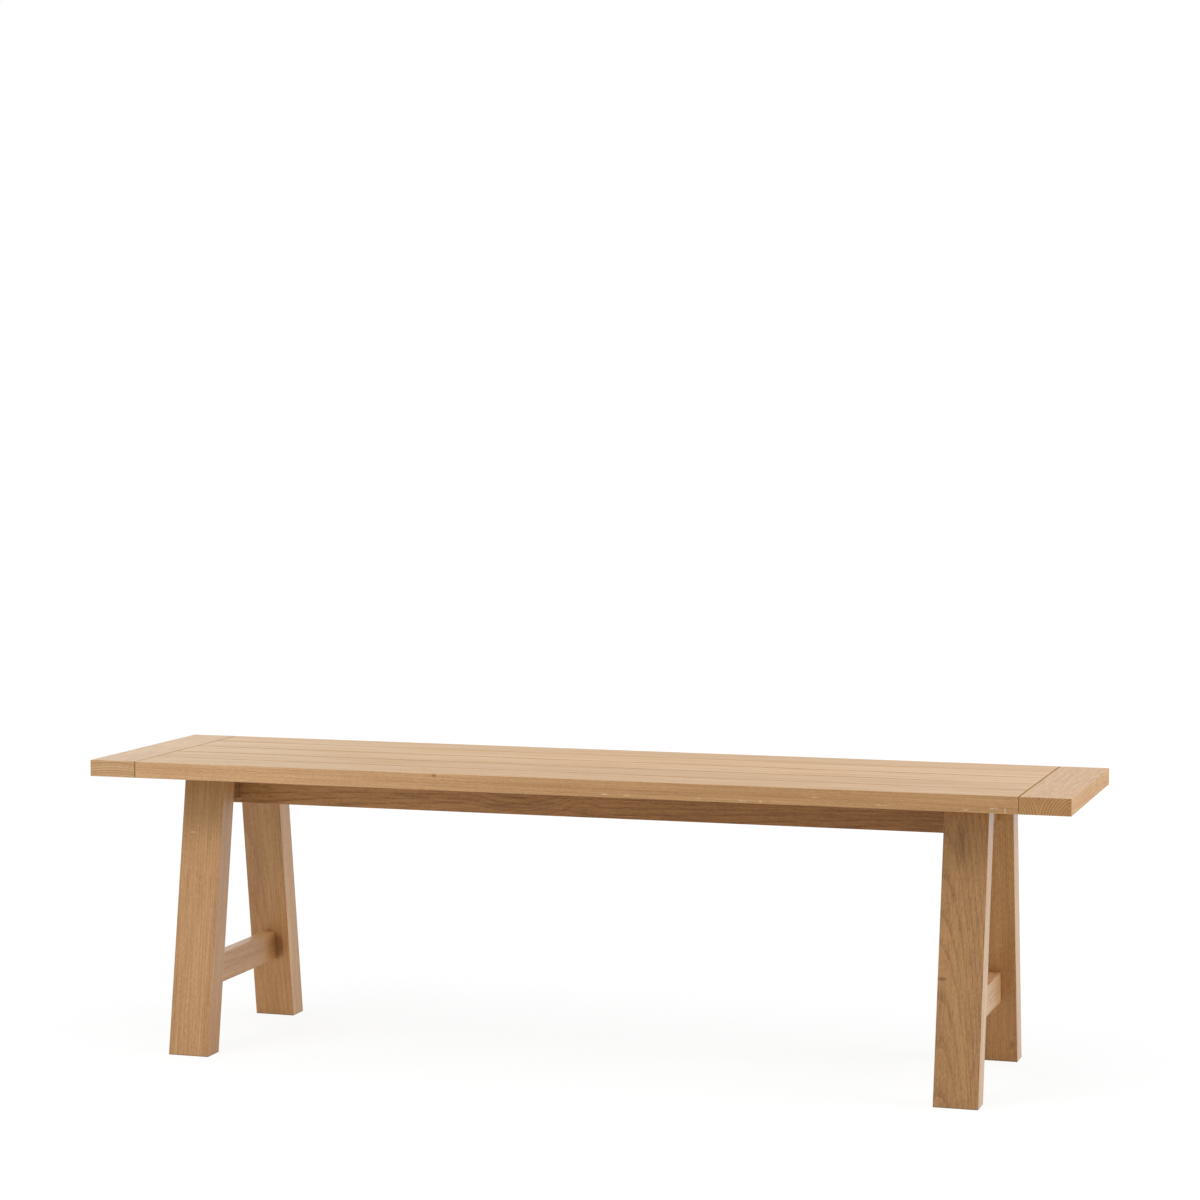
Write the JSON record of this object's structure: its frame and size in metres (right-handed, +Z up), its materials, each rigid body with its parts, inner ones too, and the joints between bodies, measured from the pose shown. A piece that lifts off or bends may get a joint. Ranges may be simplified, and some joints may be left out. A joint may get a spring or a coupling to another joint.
{
  "type": "trestle bench",
  "caption": "Long wooden bench: plank seat with an end board across each end, on two splayed A-shaped trestles tied by a rail under the seat.",
  "frame": {"origin": "on the floor, under the middle of the seat", "axes": "+X along the bench to its right-hand end, -Y towards its front, +Z up"},
  "size_m": [1.5, 0.385, 0.448],
  "materials": {
    "seat_oak": "matt clear lacquer on light oak",
    "frame_oak": "matt clear lacquer on light oak",
    "beech": "bare turned beech",
    "birch_ply": "bare sawn birch plywood",
    "zinc_steel": "bright zinc plate",
    "insert_brass": "plain turned brass"
  },
  "bodies": {
    "root": {"seat_board_1": "seat_oak", "seat_board_2": "seat_oak", "seat_board_3": "seat_oak", "seat_board_4": "seat_oak", "seat_board_5": "seat_oak", "end_board_left": "seat_oak", "end_board_right": "seat_oak", "seat_spline_1": "birch_ply", "seat_spline_2": "birch_ply", "seat_spline_3": "birch_ply", "seat_spline_4": "birch_ply", "left_leg_front": "frame_oak", "left_leg_back": "frame_oak", "left_bearer": "frame_oak", "left_stretcher": "frame_oak", "right_leg_front": "frame_oak", "right_leg_back": "frame_oak", "right_bearer": "frame_oak", "right_stretcher": "frame_oak", "long_rail": "frame_oak", "left_bearer_dowel_front_upper": "beech", "left_bearer_dowel_front_lower": "beech", "left_bearer_dowel_back_upper": "beech", "left_bearer_dowel_back_lower": "beech", "left_stretcher_dowel_front_upper": "beech", "left_stretcher_dowel_front_lower": "beech", "left_stretcher_dowel_back_upper": "beech", "left_stretcher_dowel_back_lower": "beech", "left_rail_dowel_upper": "beech", "left_rail_dowel_lower": "beech", "right_bearer_dowel_front_upper": "beech", "right_bearer_dowel_front_lower": "beech", "right_bearer_dowel_back_upper": "beech", "right_bearer_dowel_back_lower": "beech", "right_stretcher_dowel_front_upper": "beech", "right_stretcher_dowel_front_lower": "beech", "right_stretcher_dowel_back_upper": "beech", "right_stretcher_dowel_back_lower": "beech", "right_rail_dowel_upper": "beech", "right_rail_dowel_lower": "beech", "left_seat_bolt_front": "zinc_steel", "left_seat_bolt_back": "zinc_steel", "left_seat_washer_front": "zinc_steel", "left_seat_washer_back": "zinc_steel", "left_seat_insert_front": "insert_brass", "left_seat_insert_back": "insert_brass", "right_seat_bolt_front": "zinc_steel", "right_seat_bolt_back": "zinc_steel", "right_seat_washer_front": "zinc_steel", "right_seat_washer_back": "zinc_steel", "right_seat_insert_front": "insert_brass", "right_seat_insert_back": "insert_brass", "left_rail_bolt": "zinc_steel", "right_rail_bolt": "zinc_steel", "left_barrel_nut": "zinc_steel", "right_barrel_nut": "zinc_steel", "rail_screw_1": "zinc_steel", "rail_screw_2": "zinc_steel", "rail_screw_3": "zinc_steel"}
  },
  "joints": []
}
